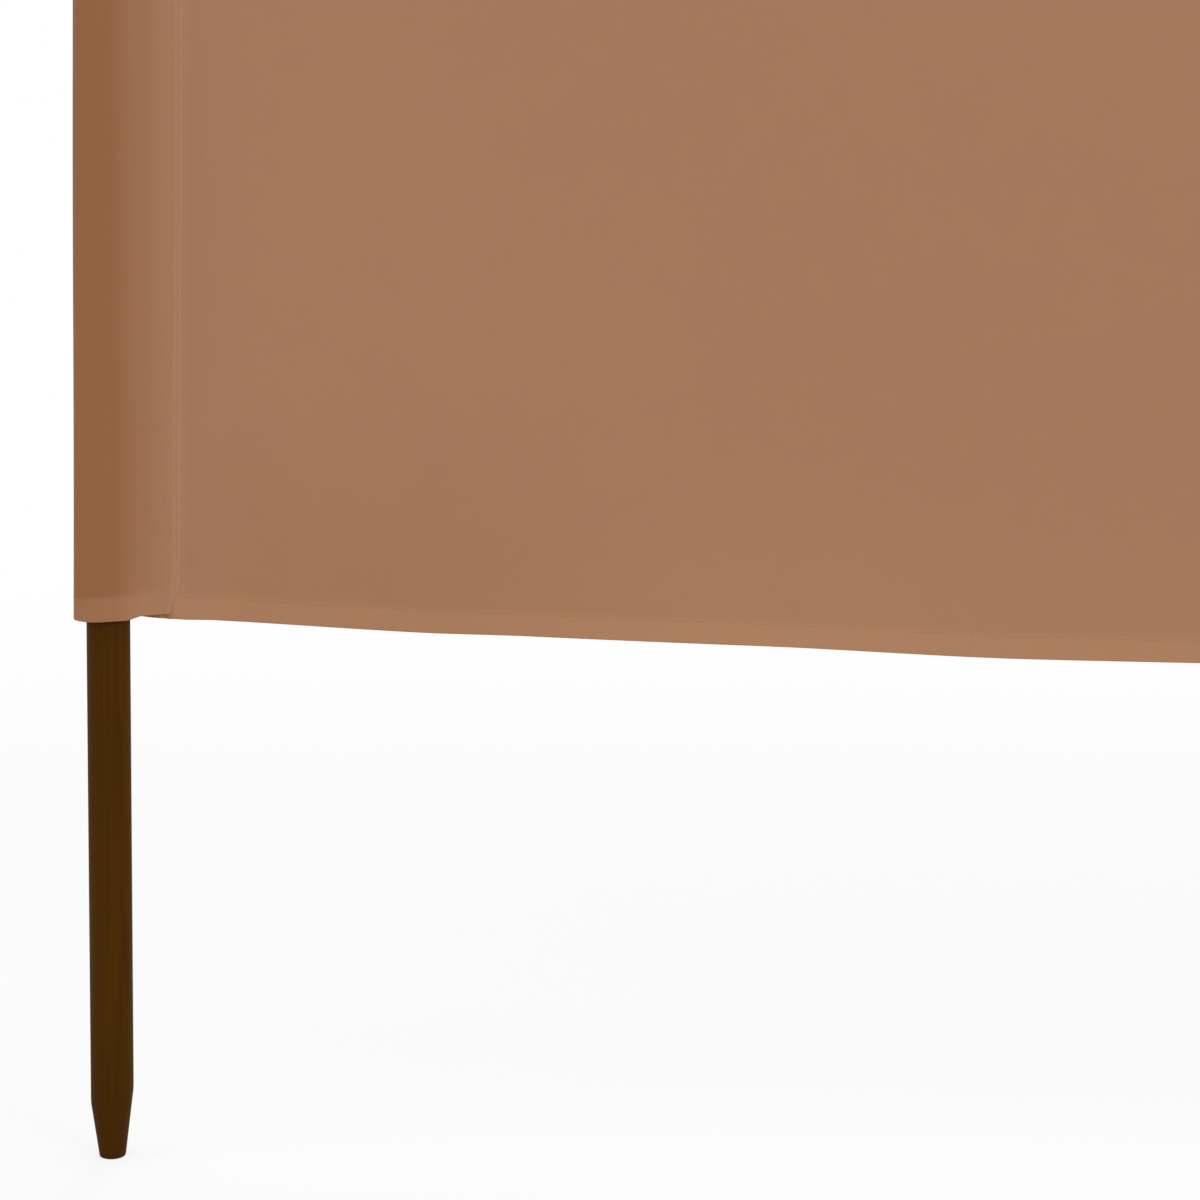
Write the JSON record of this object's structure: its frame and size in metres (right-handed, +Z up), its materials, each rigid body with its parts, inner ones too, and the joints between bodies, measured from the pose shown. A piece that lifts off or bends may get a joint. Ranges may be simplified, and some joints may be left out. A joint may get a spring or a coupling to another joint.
{
  "type": "beach windbreak",
  "caption": "Beach windbreak of taupe-brown cloth in bays, sleeved onto round dark wooden posts with blunt tapered points.",
  "frame": {"origin": "centre of the flat tip of the first post, at the left end of the row seen from the front", "axes": "+X along the row from the first post to the last, +Y from the front to the back of the cloth, +Z up"},
  "size_m": [3.9998, 0.0456, 1.2002],
  "materials": {
    "cloth": "matt",
    "post_wood": "stained, satin"
  },
  "bodies": {
    "root": {"post_1": "post_wood", "post_2": "post_wood", "post_3": "post_wood", "post_4": "post_wood", "panel_1": "cloth", "panel_2": "cloth", "panel_3": "cloth", "top_hem_1": "cloth", "top_hem_2": "cloth", "top_hem_3": "cloth", "bottom_hem_1": "cloth", "bottom_hem_2": "cloth", "bottom_hem_3": "cloth", "end_sleeve_left": "cloth", "end_sleeve_right": "cloth", "end_top_hem_left": "cloth", "end_top_hem_right": "cloth", "end_bottom_hem_left": "cloth", "end_bottom_hem_right": "cloth", "sleeve_front_2": "cloth", "sleeve_front_3": "cloth", "sleeve_back_2": "cloth", "sleeve_back_3": "cloth", "front_top_hem_2": "cloth", "front_top_hem_3": "cloth", "front_bottom_hem_2": "cloth", "front_bottom_hem_3": "cloth", "back_top_hem_2": "cloth", "back_top_hem_3": "cloth", "back_bottom_hem_2": "cloth", "back_bottom_hem_3": "cloth"}
  },
  "joints": []
}
